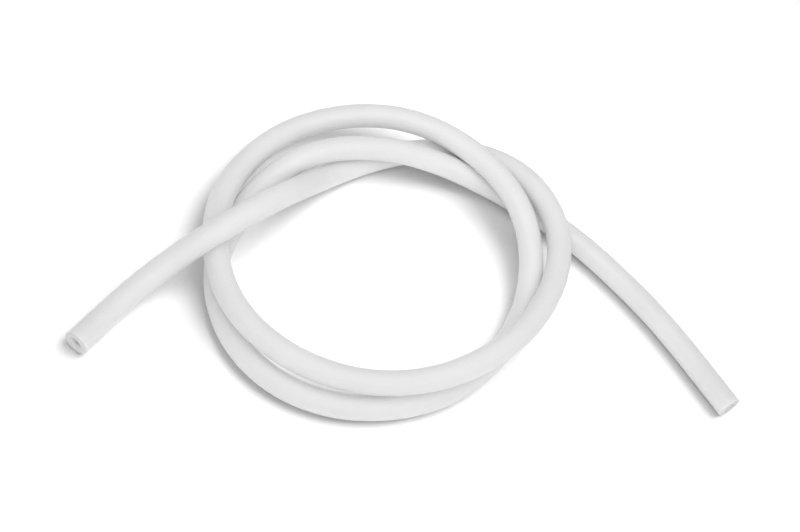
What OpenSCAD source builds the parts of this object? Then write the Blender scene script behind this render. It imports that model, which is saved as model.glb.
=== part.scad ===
// Silicone tubing coil: one length of round tube, cut square at both ends and laid down in a loose coil
// of two turns, with a tail at each side. Millimetres, +Z up. The origin is under the middle of the
// coil, on the surface that the tube lies on.

/* [Tube] */
// Outer diameter of the tube
outer_d = 8; // [5:0.5:8]
// Diameter of the bore
bore_d = 4; // [1:0.5:4]

/* [Coil] */
// Straight run at each cut end, where a barbed fitting is pushed in
end_len = 11; // [5:1:20]
// Clearance between turns that lie on each other
turn_gap = 0.5; // [0.4:0.1:2]

/* [Hidden] */

// Sides of the tube where it is swept along the route, and the rings that it is swept through
SIDES = 12;
RINGS = 80;

// Facets of the round ends
ROUND = 48;

// How far a straight end reaches over the swept stretch, and how far inside its wall the stretch stays
LAP = 0.5;
SEAT = 0.05;

// How far the tool that cuts the bore stands out at each end
OVERCUT = 1;

// How the tube is laid, from its left end to its right end: x and y in mm, and how many tubes lie
// under it there
ROUTE = [
    [-78, -64, 0], [-75.5, -56, 0], [-69.5, -43.5, 0.5], [-58.5, -33, 2], [-48, -18, 2.4],
    [-40.5, -1.5, 1.7], [-36.5, 14, 0.3], [-26, 30.5, -0.05], [-10.5, 45, 0.05], [9, 51.5, 0.4],
    [28.5, 46, 1.1], [44.5, 31, 1.1], [49.5, 11.5, 0.95], [46.5, -10, 0.95], [37, -30, 1.05],
    [21.5, -46, 0.95], [1.5, -55, 0.8], [-21.5, -56, 0.8], [-42, -48.5, 1], [-55, -32.5, 1],
    [-62, -11.5, 0.85], [-60.5, 9.5, 0.45], [-52.5, 29.5, 0.4], [-36, 44, 0.65], [-16.5, 50, 1.05],
    [5, 46.5, 1.35], [26, 36.5, 1.25], [38.5, 21.5, 0.7], [44, 0.5, 0.1], [40.5, -20, 0],
    [31, -40, 0], [16, -53.5, 0], [-4, -62.5, 0], [-26, -61.5, 0], [-44.5, -49.5, 0],
    [-55.5, -29, 0], [-55.5, -8, 0], [-49, 11.5, 0.75], [-34.5, 25.5, 1.25], [-13.5, 36.5, 0.95],
    [7, 41.5, 0.35], [28, 41, 0], [49, 36, 0], [68, 27, 0], [87.5, 16, 0],
    [107.5, 0.5, 0]
];

// A point of the route at its height: on the surface, or on the tubes that lie under it
function laid(p) = [p.x, p.y, outer_d / 2 + p.z * (outer_d + turn_gap)];

// The laid points, with one more in line before and after them, so that the sweep begins at the
// first and ends at the last of them, and is straight there
LAID = [for (p = ROUTE) laid(p)];
LAST = len(LAID) - 1;
GUIDE = [2 * LAID[0] - LAID[1], each LAID, 2 * LAID[LAST] - LAID[LAST - 1]];

// The route is a cubic B-spline through the guide points. At a share f of the way between two laid
// points, these are the shares of the four guide points round it, in its place and in its heading
function place_shares(f) =
    [pow(1 - f, 3), 4 - 6 * f * f + 3 * pow(f, 3), 1 + 3 * f + 3 * f * f - 3 * pow(f, 3), pow(f, 3)] / 6;
function heading_shares(f) = [-pow(1 - f, 2), 3 * f * f - 4 * f, 1 + 2 * f - 3 * f * f, f * f] / 2;

// The two are found at s, which counts the laid points along the route
function start_of(s) = min(floor(s), LAST - 1);
function mix(shares, i) =
    shares[0] * GUIDE[i] + shares[1] * GUIDE[i + 1] + shares[2] * GUIDE[i + 2] + shares[3] * GUIDE[i + 3];
function unit(v) = v / norm(v);
function place(s) = mix(place_shares(s - start_of(s)), start_of(s));
function heading(s) = unit(mix(heading_shares(s - start_of(s)), start_of(s)));

// Radius of the corners of a ring's polygon, for the outer wall (side 1) or the bore (side -1). The
// polygon has the area of its circle, so the swept stretch weighs what a round one does, and the first
// and last rings lie inside the wall of the ends
function corner_r(d, side, k) =
    k > 0 && k < RINGS - 1 ? d / 2 * sqrt(2 * PI / (SIDES * sin(360 / SIDES)))
    : side > 0 ? d / 2 - SEAT
    : (d / 2 + SEAT) / cos(180 / SIDES);

// Ring k of the sweep, square to the route and with a flat down
function ring(k, r) =
    let (
        s = k * LAST / (RINGS - 1),
        across = unit(cross([0, 0, 1], heading(s))),
        up = cross(heading(s), across)
    )
    [for (i = [0:SIDES - 1]) let (a = (i + 0.5) * 360 / SIDES) place(s) + r * (cos(a) * across + sin(a) * up)];

// All rings of one wall of the tube, as one list of points
function rings(d, side) = [for (k = [0:RINGS - 1]) each ring(k, corner_r(d, side, k))];

// The ways in which the two straight ends run out, and the middles of their cut faces
END_WAYS = [unit(LAID[0] - LAID[1]), unit(LAID[LAST] - LAID[LAST - 1])];
TIPS = [LAID[0] + end_len * END_WAYS[0], LAID[LAST] + end_len * END_WAYS[1]];

// How far the tube reaches along axis 0 or 1: its rings, and the rims of its cut faces
function rim(i, axis) = outer_d / 2 * sqrt(1 - pow(END_WAYS[i][axis], 2));
function reach(axis) = concat(
    [for (p = rings(outer_d, 1)) p[axis]],
    [for (i = [0, 1], way = [-1, 1]) TIPS[i][axis] + way * rim(i, axis)]
);

// The middle of the tube in plan, which is set over the origin
MIDDLE = [for (axis = [0, 1]) (min(reach(axis)) + max(reach(axis))) / 2];

// The four-sided faces of one wall, whose points start at first. A wall that faces inwards is turned
function wall(first, turned) = [
    for (k = [0:RINGS - 2], i = [0:SIDES - 1])
        let (
            a = first + k * SIDES + i,
            b = first + k * SIDES + (i + 1) % SIDES
        )
        turned ? [a, a + SIDES, b + SIDES, b] : [a, b, b + SIDES, a + SIDES]
];

// The ring-shaped face between the outer wall and the bore at ring k
function cut(k, turned) = [
    for (i = [0:SIDES - 1])
        let (
            a = k * SIDES + i,
            b = k * SIDES + (i + 1) % SIDES,
            bore = RINGS * SIDES
        )
        turned ? [a, b, b + bore, a + bore] : [a, a + bore, b + bore, b]
];

// The tube along the route
module swept_stretch() {
    polyhedron(
        points = concat(rings(outer_d, 1), rings(bore_d, -1)),
        faces = concat(wall(0, false), wall(RINGS * SIDES, true), cut(0, true), cut(RINGS - 1, false))
    );
}

// A straight end of the tube, from a point of the route outwards along a way
module cut_end(from, way) {
    translate(from)
    rotate([0, acos(way.z), atan2(way.y, way.x)])
    translate([0, 0, -LAP])
    difference() {
        cylinder(d = outer_d, h = LAP + end_len, $fn = ROUND);
        translate([0, 0, -OVERCUT]) cylinder(d = bore_d, h = LAP + end_len + 2 * OVERCUT, $fn = ROUND);
    }
}

// The whole tube, one piece from cut end to cut end
module silicone_tube() {
    color("whitesmoke")
    translate([-MIDDLE.x, -MIDDLE.y, 0]) {
        swept_stretch();
        cut_end(LAID[0], END_WAYS[0]);
        cut_end(LAID[LAST], END_WAYS[1]);
    }
}

silicone_tube();
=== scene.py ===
"""Silicone tubing coil: the finish of the tube, and the floor, light and camera that show it."""

import logging
import math
from bisect import bisect_right
from dataclasses import dataclass
from enum import Enum

import bpy
from mathutils import Matrix, Vector

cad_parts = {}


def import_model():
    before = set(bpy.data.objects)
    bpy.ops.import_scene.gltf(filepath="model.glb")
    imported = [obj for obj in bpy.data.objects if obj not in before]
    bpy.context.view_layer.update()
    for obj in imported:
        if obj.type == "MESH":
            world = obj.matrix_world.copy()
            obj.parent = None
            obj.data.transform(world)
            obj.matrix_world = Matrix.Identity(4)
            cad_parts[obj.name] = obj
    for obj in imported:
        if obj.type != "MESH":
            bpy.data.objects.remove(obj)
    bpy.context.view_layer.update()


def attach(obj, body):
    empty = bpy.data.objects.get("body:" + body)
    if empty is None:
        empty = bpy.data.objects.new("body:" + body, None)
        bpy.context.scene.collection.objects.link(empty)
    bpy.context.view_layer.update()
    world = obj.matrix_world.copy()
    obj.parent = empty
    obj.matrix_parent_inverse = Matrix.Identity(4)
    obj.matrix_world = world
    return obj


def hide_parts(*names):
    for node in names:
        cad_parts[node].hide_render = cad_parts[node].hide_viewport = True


LOG = logging.getLogger("silicone_tube")
MM = 0.001


class Surface(Enum):
    """The surfaces of the tube, each with a finish of its own."""

    OUTSIDE = "silicone_outside"
    CUT = "silicone_cut_face"
    BORE = "silicone_bore"


def add_noise(
    tree: bpy.types.NodeTree, place: bpy.types.NodeSocket, scale: float, detail: float
) -> bpy.types.Node:
    """Adds a noise texture to a material.

    Args:
        tree: the material's nodes.
        place: the coordinates that the noise reads.
        scale: patches of noise in one unit of those coordinates.
        detail: layers of finer noise over the patches.

    Returns:
        The texture's node.
    """
    noise = tree.nodes.new("ShaderNodeTexNoise")
    noise.inputs["Scale"].default_value = scale
    noise.inputs["Detail"].default_value = detail
    tree.links.new(place, noise.inputs["Vector"])
    return noise


def add_bump(tree: bpy.types.NodeTree, height: bpy.types.NodeSocket, depth: float) -> bpy.types.Node:
    """Adds a bump to a material.

    Args:
        tree: the material's nodes.
        height: the pattern that is raised, from 0 to 1.
        depth: how far it is raised, in metres.

    Returns:
        The bump's node.
    """
    bump = tree.nodes.new("ShaderNodeBump")
    bump.inputs["Distance"].default_value = depth
    tree.links.new(height, bump.inputs["Height"])
    return bump


@dataclass(frozen=True)
class SiliconeFinish:
    """Milky, translucent silicone rubber with a satin skin.

    Attributes:
        colour: colour of the rubber, as linear red, green and blue.
        cloud: how much darker the cloudier patches are.
        cloud_scale: patches in a metre.
        cloud_detail: layers of finer clouds over the patches.
        cloud_range: level of the noise at which a patch is cloudiest, and at which it is clear.
        roughness: roughness of the skin.
        ior: index of refraction of the rubber.
        line_depth: depth of the die lines that run along the tube, in metres.
        lines_round: die lines in one turn round the tube.
        lines_along: changes of a die line in a metre of tube.
        line_detail: layers of finer lines over the die lines.
        grain_depth: depth of the fine grain, in metres.
        grain_scale: grains in a metre.
        grain_detail: layers of finer grain over the grain.
        scatter: share of the light that spreads inside the rubber.
        reach: how far that light spreads, in metres.
    """

    colour: tuple[float, float, float] = (0.77, 0.77, 0.77)
    cloud: float = 0.04
    cloud_scale: float = 45.0
    cloud_detail: float = 2.0
    cloud_range: tuple[float, float] = (0.35, 0.65)
    roughness: float = 0.42
    ior: float = 1.41
    line_depth: float = 0.02 * MM
    lines_round: float = 34.0
    lines_along: float = 3.0
    line_detail: float = 2.0
    grain_depth: float = 0.02 * MM
    grain_scale: float = 1800.0
    grain_detail: float = 3.0
    scatter: float = 1.0
    reach: float = 2 * MM

    def build(self, name: str) -> bpy.types.Material:
        """Makes the material.

        Args:
            name: name of the material.

        Returns:
            The material, with its nodes.
        """
        material = bpy.data.materials.new(name)
        material.use_nodes = True
        tree = material.node_tree
        shader = tree.nodes["Principled BSDF"]
        shader.subsurface_method = "BURLEY"
        shader.inputs["Roughness"].default_value = self.roughness
        shader.inputs["IOR"].default_value = self.ior
        shader.inputs["Subsurface Weight"].default_value = self.scatter
        # Red, green and blue spread alike, as far as the scale says
        shader.inputs["Subsurface Radius"].default_value = (1.0, 1.0, 1.0)
        shader.inputs["Subsurface Scale"].default_value = self.reach

        place = tree.nodes.new("ShaderNodeTexCoord")
        tree.links.new(self.clouded(tree, place), shader.inputs["Base Color"])
        tree.links.new(self.textured(tree, place), shader.inputs["Normal"])
        return material

    def clouded(self, tree: bpy.types.NodeTree, place: bpy.types.Node) -> bpy.types.NodeSocket:
        """Makes the colour, with its faint clouds.

        Args:
            tree: the material's nodes.
            place: the node that gives the coordinates.

        Returns:
            The socket that gives the colour.
        """
        clouds = add_noise(tree, place.outputs["Object"], self.cloud_scale, self.cloud_detail)
        tint = tree.nodes.new("ShaderNodeValToRGB")
        cloudy, clear = tint.color_ramp.elements
        cloudy.position, clear.position = self.cloud_range
        cloudy.color = (*[c * (1 - self.cloud) for c in self.colour], 1)
        clear.color = (*self.colour, 1)
        tree.links.new(clouds.outputs["Fac"], tint.inputs["Fac"])
        return tint.outputs["Color"]

    def textured(self, tree: bpy.types.NodeTree, place: bpy.types.Node) -> bpy.types.NodeSocket:
        """Makes the fine grain, and the die lines over it.

        Args:
            tree: the material's nodes.
            place: the node that gives the coordinates. Its UV map runs round and along the tube.

        Returns:
            The socket that gives the normal.
        """
        grain = add_noise(tree, place.outputs["Object"], self.grain_scale, self.grain_detail)
        grain_bump = add_bump(tree, grain.outputs["Fac"], self.grain_depth)
        stretch = tree.nodes.new("ShaderNodeMapping")
        stretch.inputs["Scale"].default_value = (self.lines_round, self.lines_along, 1.0)
        tree.links.new(place.outputs["UV"], stretch.inputs["Vector"])
        # The stretched coordinates already count the lines, so the noise's own scale is 1
        lines = add_noise(tree, stretch.outputs["Vector"], 1.0, self.line_detail)
        lines.noise_dimensions = "2D"
        line_bump = add_bump(tree, lines.outputs["Fac"], self.line_depth)
        tree.links.new(grain_bump.outputs["Normal"], line_bump.inputs["Normal"])
        return line_bump.outputs["Normal"]


@dataclass(frozen=True)
class Station:
    """One ring of the tube's mesh.

    Attributes:
        along: distance from the left cut face, in metres.
        radius: radius of the ring, in metres.
        surface: the surface between this ring and the next.
    """

    along: float
    radius: float
    surface: Surface


@dataclass(frozen=True)
class MiddleLine:
    """The line that the middle of the tube follows.

    Attributes:
        points: close points along the line, from the left cut face to the right one.
        distances: distance of each point from the left cut face, in metres.
    """

    points: list[Vector]
    distances: list[float]

    @classmethod
    def through(cls, points: list[Vector]) -> "MiddleLine":
        """Measures the line through some points.

        Args:
            points: close points along the line, from the left cut face to the right one.

        Returns:
            The line.
        """
        distances = [0.0]
        for here, there in zip(points, points[1:]):
            distances.append(distances[-1] + (there - here).length)
        return cls(points, distances)

    def length(self) -> float:
        """Returns the length of the line, in metres."""
        return self.distances[-1]

    def at(self, along: float) -> tuple[Vector, Vector]:
        """Finds a place on the line.

        Args:
            along: distance from the left cut face, in metres.

        Returns:
            The place, and the direction in which the line runs there.
        """
        last = len(self.points) - 1
        i = min(bisect_right(self.distances, along), last) - 1
        share = (along - self.distances[i]) / (self.distances[i + 1] - self.distances[i])
        here = (self.points[i + 1] - self.points[i]).normalized()
        before = (self.points[i] - self.points[i - 1]).normalized() if i > 0 else here
        after = (self.points[i + 2] - self.points[i + 1]).normalized() if i + 1 < last else here
        start, end = (before + here).normalized(), (here + after).normalized()
        return self.points[i].lerp(self.points[i + 1], share), start.lerp(end, share).normalized()


def spline_shares(f: float) -> tuple[float, float, float, float]:
    """Works out a point of a cubic B-spline, as in the solids.

    Args:
        f: share of the way between the second and the third of four guide points, from 0 to 1.

    Returns:
        The share of each of the four guide points in that point.
    """
    shares = ((1 - f) ** 3, 4 - 6 * f**2 + 3 * f**3, 1 + 3 * f + 3 * f**2 - 3 * f**3, f**3)
    return tuple(share / 6 for share in shares)


@dataclass
class SiliconeTube:
    """The tube: one hollow length, cut square at both ends and laid in a loose coil.

    Attributes:
        outer_d: outer diameter, in metres.
        bore_d: diameter of the bore, in metres.
        end_len: straight run at each cut end, in metres.
        turn_gap: clearance between turns that lie on each other, in metres.
        middle: middle of the laid tube in plan, which stands over the origin, in metres.
        route: how the tube is laid, as x and y in metres and the tubes that lie under it.
        fine: points of the middle line from one point of the route to the next.
        ring_step: distance between rings of the mesh, in metres.
        sides: sides of each ring.
        edge: radius of the slightly rounded rims, in metres.
        rim_angles: where a rounded rim has rings, in degrees round its curve.
        face_inset: how far into the cut face the rings lie that keep it flat, in radii of the rim.
    """

    outer_d: float = 8 * MM
    bore_d: float = 4 * MM
    end_len: float = 11 * MM
    turn_gap: float = 0.5 * MM
    middle: tuple[float, float] = (0.016773, -0.011126)
    route: tuple[tuple[float, float, float], ...] = (
        (-0.078, -0.064, 0), (-0.0755, -0.056, 0), (-0.0695, -0.0435, 0.5), (-0.0585, -0.033, 2),
        (-0.048, -0.018, 2.4), (-0.0405, -0.0015, 1.7), (-0.0365, 0.014, 0.3), (-0.026, 0.0305, -0.05),
        (-0.0105, 0.045, 0.05), (0.009, 0.0515, 0.4), (0.0285, 0.046, 1.1), (0.0445, 0.031, 1.1),
        (0.0495, 0.0115, 0.95), (0.0465, -0.01, 0.95), (0.037, -0.03, 1.05), (0.0215, -0.046, 0.95),
        (0.0015, -0.055, 0.8), (-0.0215, -0.056, 0.8), (-0.042, -0.0485, 1), (-0.055, -0.0325, 1),
        (-0.062, -0.0115, 0.85), (-0.0605, 0.0095, 0.45), (-0.0525, 0.0295, 0.4), (-0.036, 0.044, 0.65),
        (-0.0165, 0.05, 1.05), (0.005, 0.0465, 1.35), (0.026, 0.0365, 1.25), (0.0385, 0.0215, 0.7),
        (0.044, 0.0005, 0.1), (0.0405, -0.02, 0), (0.031, -0.04, 0), (0.016, -0.0535, 0),
        (-0.004, -0.0625, 0), (-0.026, -0.0615, 0), (-0.0445, -0.0495, 0), (-0.0555, -0.029, 0),
        (-0.0555, -0.008, 0), (-0.049, 0.0115, 0.75), (-0.0345, 0.0255, 1.25), (-0.0135, 0.0365, 0.95),
        (0.007, 0.0415, 0.35), (0.028, 0.041, 0), (0.049, 0.036, 0), (0.068, 0.027, 0),
        (0.0875, 0.016, 0), (0.1075, 0.0005, 0),
    )
    fine: int = 40
    ring_step: float = 1.6 * MM
    sides: int = 60
    edge: float = 0.4 * MM
    rim_angles: tuple[float, ...] = (30.0, 60.0)
    face_inset: float = 1.6

    def laid(self) -> list[Vector]:
        """Returns the route's points at their heights, centred over the origin."""
        lift = self.outer_d + self.turn_gap
        return [
            Vector((x - self.middle[0], y - self.middle[1], self.outer_d / 2 + under * lift))
            for x, y, under in self.route
        ]

    def middle_line(self) -> MiddleLine:
        """Returns the line that the middle of the tube follows."""
        laid = self.laid()
        guide = [2 * laid[0] - laid[1], *laid, 2 * laid[-1] - laid[-2]]
        curve = []
        for start in range(len(laid) - 1):
            for step in range(self.fine):
                weighed = zip(guide[start:], spline_shares(step / self.fine))
                curve.append(sum((point * share for point, share in weighed), Vector()))
        curve.append(laid[-1])
        left = laid[0] + (laid[0] - laid[1]).normalized() * self.end_len
        right = laid[-1] + (laid[-1] - laid[-2]).normalized() * self.end_len
        return MiddleLine.through([left, *curve, right])

    def stations(self, length: float) -> list[Station]:
        """Lists the rings of the mesh, once round the tube's wall and back to the first.

        Args:
            length: length of the tube, in metres.

        Returns:
            Rings along the outside, over the right cut face, back along the bore and over the left one.
        """
        outer, bore, edge = self.outer_d / 2, self.bore_d / 2, self.edge
        inset = self.face_inset * edge
        count = round((length - 2 * edge) / self.ring_step)
        runs = [edge + (length - 2 * edge) * i / count for i in range(count + 1)]
        angles = [math.radians(angle) for angle in self.rim_angles]
        bend = [(edge * math.sin(angle), edge * math.cos(angle)) for angle in angles]
        outside = [Station(run, outer, Surface.OUTSIDE) for run in runs]
        right = [Station(length - edge + out, outer - edge + up, Surface.CUT) for out, up in bend]
        for radius in (outer - edge, outer - inset, bore + inset, bore + edge):
            right.append(Station(length, radius, Surface.CUT))
        right += [Station(length - edge + up, bore + edge - out, Surface.CUT) for out, up in bend]
        back = [Station(run, bore, Surface.BORE) for run in reversed(runs)]
        left = [Station(length - ring.along, ring.radius, Surface.CUT) for ring in reversed(right)]
        return outside + right + back + left

    def ring(self, centre: Vector, heading: Vector, radius: float) -> list[Vector]:
        """Places the points of one ring, square to the tube.

        Args:
            centre: middle of the ring.
            heading: direction in which the tube runs there.
            radius: radius of the ring, in metres.

        Returns:
            The points of the ring.
        """
        across = Vector((0, 0, 1)).cross(heading).normalized()
        up = heading.cross(across)
        turns = [math.tau * i / self.sides for i in range(self.sides)]
        return [centre + radius * (math.cos(turn) * across + math.sin(turn) * up) for turn in turns]

    def skin(self, stations: list[Station]) -> tuple[list[tuple[int, ...]], list[int], list[float]]:
        """Joins each ring to the next, and the last to the first.

        Args:
            stations: the rings, in order.

        Returns:
            The corners of each face, its material slot, and its corners on the UV map, which runs once
            round the tube and along it in metres.
        """
        surfaces = list(Surface)
        faces, slots, uvs = [], [], []
        for k, station in enumerate(stations):
            after = (k + 1) % len(stations)
            here, there = k * self.sides, after * self.sides
            near, far = station.along, stations[after].along
            for i in range(self.sides):
                j = (i + 1) % self.sides
                u, v = i / self.sides, (i + 1) / self.sides
                faces.append((here + i, here + j, there + j, there + i))
                slots.append(surfaces.index(station.surface))
                uvs += [u, near, v, near, v, far, u, far]
        return faces, slots, uvs

    def build(self) -> tuple[bpy.types.Object, MiddleLine]:
        """Builds the tube's mesh.

        Returns:
            The tube, and the line that its middle follows.
        """
        line = self.middle_line()
        stations = self.stations(line.length())
        points = []
        for station in stations:
            centre, heading = line.at(station.along)
            points += self.ring(centre, heading, station.radius)
        faces, slots, uvs = self.skin(stations)
        mesh = bpy.data.meshes.new("silicone_tube_body")
        mesh.from_pydata(points, [], faces)
        mesh.polygons.foreach_set("material_index", slots)
        mesh.uv_layers.new(name="along").data.foreach_set("uv", uvs)
        mesh.shade_smooth()
        mesh.update()
        tube = bpy.data.objects.new("silicone_tube_body", mesh)
        bpy.context.collection.objects.link(tube)
        return tube, line

    def dress(self, tube: bpy.types.Object) -> None:
        """Gives each surface of the tube its finish.

        Args:
            tube: the tube's mesh object, whose faces already name their surface.
        """
        finishes = {
            Surface.OUTSIDE: SiliconeFinish(),
            # The cut face is the same rubber as the skin, but its colour is set darker: painted shade,
            # so that the brightly lit end face renders darker.
            Surface.CUT: SiliconeFinish(
                colour=(0.68, 0.68, 0.68),
                roughness=0.6,
                line_depth=0.0,
                grain_depth=0.04 * MM,
                scatter=0.0,
            ),
            Surface.BORE: SiliconeFinish(roughness=0.5),
        }
        for surface in Surface:
            tube.data.materials.append(finishes[surface].build(surface.value))


def towards(turn: float, elevation: float) -> Vector:
    """Finds the way to a lamp.

    Args:
        turn: direction of the lamp in plan, in degrees from +X.
        elevation: height of the lamp over the floor, in degrees.

    Returns:
        The way to the lamp, one metre long.
    """
    across, rise = math.radians(turn), math.radians(elevation)
    return Vector((math.cos(rise) * math.cos(across), math.cos(rise) * math.sin(across), math.sin(rise)))


def set_up(data: bpy.types.Light, spot: Vector, way: Vector) -> bpy.types.Object:
    """Sets up a lamp.

    Args:
        data: the lamp's kind, size and strength.
        spot: where the lamp is, in metres.
        way: the way to the lamp from what it is turned to.

    Returns:
        The lamp.
    """
    lamp = bpy.data.objects.new(data.name, data)
    lamp.location = spot
    lamp.rotation_mode = "QUATERNION"
    lamp.rotation_quaternion = way.to_track_quat("Z", "Y")
    bpy.context.collection.objects.link(lamp)
    return lamp


@dataclass(frozen=True)
class Lamp:
    """A distant lamp that lights one thing.

    Attributes:
        turn: direction of the lamp in plan, in degrees from +X.
        elevation: height of the lamp over the floor, in degrees.
        angle: how wide the lamp looks from the floor, in degrees.
        strength: strength of the lamp, in watts for each square metre.
    """

    turn: float
    elevation: float
    angle: float
    strength: float

    def hang(self, name: str, lit: bpy.types.Object) -> None:
        """Hangs the lamp.

        Args:
            name: name of the lamp.
            lit: the one thing that it lights. Other things still throw their shadows on it.
        """
        data = bpy.data.lights.new(name, "SUN")
        data.angle = math.radians(self.angle)
        data.energy = self.strength
        way = towards(self.turn, self.elevation)
        lamp = set_up(data, way, way)
        lit_alone = bpy.data.collections.new(name + "_lights")
        lit_alone.objects.link(lit)
        lamp.light_linking.receiver_collection = lit_alone


@dataclass(frozen=True)
class Softbox:
    """A round soft lamp close over the coil, whose light falls off towards the tails.

    Attributes:
        aim: the point that it is turned to, in metres.
        turn: direction of the lamp in plan, in degrees from +X.
        elevation: height of the lamp over the floor, in degrees.
        distance: distance of the lamp from the point, in metres.
        width: width of the lamp, in metres.
        power: power of the lamp, in watts.
    """

    aim: tuple[float, float, float]
    turn: float
    elevation: float
    distance: float
    width: float
    power: float

    def hang(self, name: str) -> None:
        """Hangs the lamp, out of the camera's sight.

        Args:
            name: name of the lamp.
        """
        data = bpy.data.lights.new(name, "AREA")
        data.shape = "DISK"
        data.size = self.width
        data.energy = self.power
        way = towards(self.turn, self.elevation)
        lamp = set_up(data, Vector(self.aim) + way * self.distance, way)
        lamp.visible_camera = False


@dataclass
class Studio:
    """The plain floor, the soft light and the camera.

    The room is evenly bright, a soft key lamp on the camera's side lights the tube, and a softbox hangs
    over the coil. The floor has a lamp of its own, as a studio lights its backdrop, and that lamp throws
    the tube's soft shadow. Seen directly or in a reflection, the room is white.

    Attributes:
        target: the point on the floor in the middle of the picture, in metres.
        elevation: height of the camera over the floor, in degrees.
        roll: turn of the camera about its own line of sight, in degrees.
        distance: distance of the camera from the target, in metres.
        lens: focal length, in millimetres.
        sight: how near and how far the camera sees, in metres.
        floor_size: width of the floor, in metres.
        floor_shade: how light the floor is, from 0 to 1.
        room: brightness of the room, the same all round.
        key: the tube's lamp.
        softbox: the lamp over the coil.
        floor_lamp: the floor's lamp.
    """

    target: tuple[float, float, float] = (-0.016773, 0.011126, 0.0)
    elevation: float = 54.0
    roll: float = 22.0
    distance: float = 0.528
    lens: float = 72.45
    sight: tuple[float, float] = (0.01, 50.0)
    floor_size: float = 12.0
    floor_shade: float = 0.85
    room: float = 0.575
    key: Lamp = Lamp(turn=-70.0, elevation=60.0, angle=60.0, strength=1.05)
    softbox: Softbox = Softbox(
        aim=(-0.02, 0.035, 0.01),
        turn=-80.0,
        elevation=80.0,
        distance=0.15,
        width=0.12,
        power=0.046,
    )
    floor_lamp: Lamp = Lamp(turn=30.0, elevation=66.0, angle=45.0, strength=2.4)

    def build_camera(self) -> None:
        """Sets up the camera and makes it the scene's own."""
        rise, roll = math.radians(self.elevation), math.radians(self.roll)
        level_right = Vector((1, 0, 0))
        level_up = Vector((0, math.sin(rise), math.cos(rise)))
        back = Vector((0, -math.cos(rise), math.sin(rise)))
        right = math.cos(roll) * level_right + math.sin(roll) * level_up
        up = math.cos(roll) * level_up - math.sin(roll) * level_right
        data = bpy.data.cameras.new("camera")
        data.lens = self.lens
        data.clip_start, data.clip_end = self.sight
        camera = bpy.data.objects.new("camera", data)
        turned = Matrix((right, up, back)).transposed().to_4x4()
        camera.matrix_world = Matrix.Translation(Vector(self.target) + back * self.distance) @ turned
        bpy.context.collection.objects.link(camera)
        bpy.context.scene.camera = camera

    def build_floor(self) -> bpy.types.Object:
        """Lays the plain floor.

        Returns:
            The floor.
        """
        half = self.floor_size / 2
        corners = [(-half, -half, 0), (half, -half, 0), (half, half, 0), (-half, half, 0)]
        mesh = bpy.data.meshes.new("floor")
        mesh.from_pydata(corners, [], [(0, 1, 2, 3)])
        floor = bpy.data.objects.new("floor", mesh)
        bpy.context.collection.objects.link(floor)
        material = bpy.data.materials.new("floor_pale")
        material.use_nodes = True
        nodes, links = material.node_tree.nodes, material.node_tree.links
        nodes.remove(nodes["Principled BSDF"])
        matt = nodes.new("ShaderNodeBsdfDiffuse")
        matt.inputs["Color"].default_value = (self.floor_shade, self.floor_shade, self.floor_shade, 1)
        links.new(matt.outputs["BSDF"], nodes["Material Output"].inputs["Surface"])
        mesh.materials.append(material)
        return floor

    def build_light(self, tube: bpy.types.Object, floor: bpy.types.Object) -> None:
        """Lights the room and hangs the lamps.

        Args:
            tube: the tube, which the key lamp lights.
            floor: the floor, which its own lamp lights.
        """
        self.key.hang("key", tube)
        self.softbox.hang("softbox")
        self.floor_lamp.hang("floor_lamp", floor)
        world = bpy.data.worlds.new("room")
        bpy.context.scene.world = world
        world.use_nodes = True
        nodes, links = world.node_tree.nodes, world.node_tree.links
        path = nodes.new("ShaderNodeLightPath")
        mirrored = nodes.new("ShaderNodeMath")
        mirrored.operation = "MAXIMUM"
        links.new(path.outputs["Is Glossy Ray"], mirrored.inputs[0])
        links.new(path.outputs["Is Transmission Ray"], mirrored.inputs[1])
        seen = nodes.new("ShaderNodeMath")
        seen.operation = "MAXIMUM"
        links.new(path.outputs["Is Camera Ray"], seen.inputs[0])
        links.new(mirrored.outputs["Value"], seen.inputs[1])
        # The room's own brightness where it only lights, and 1, which is white, where it is seen
        level = nodes.new("ShaderNodeMapRange")
        level.inputs["To Min"].default_value = self.room
        level.inputs["To Max"].default_value = 1.0
        links.new(seen.outputs["Value"], level.inputs["Value"])
        nodes["Background"].inputs["Color"].default_value = (1, 1, 1, 1)
        links.new(level.outputs["Result"], nodes["Background"].inputs["Strength"])

    def set_view(self) -> None:
        """Chooses the plain view transform."""
        bpy.context.scene.view_settings.view_transform = "Standard"


def main() -> None:
    """Builds the camera, the tube, the floor and the light, in that order."""
    logging.basicConfig(level=logging.INFO, format="%(message)s")
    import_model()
    studio = Studio()
    studio.build_camera()

    tube = SiliconeTube()
    body, line = tube.build()
    tube.dress(body)
    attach(body, "root")
    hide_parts("silicone_tube")
    line.length()
    LOG.info("tube: %d faces, %.3f m long", len(body.data.polygons), line.length())

    floor = studio.build_floor()
    studio.build_light(body, floor)
    studio.set_view()
    LOG.info("floor, light and camera set")


if __name__ == "__main__":
    main()
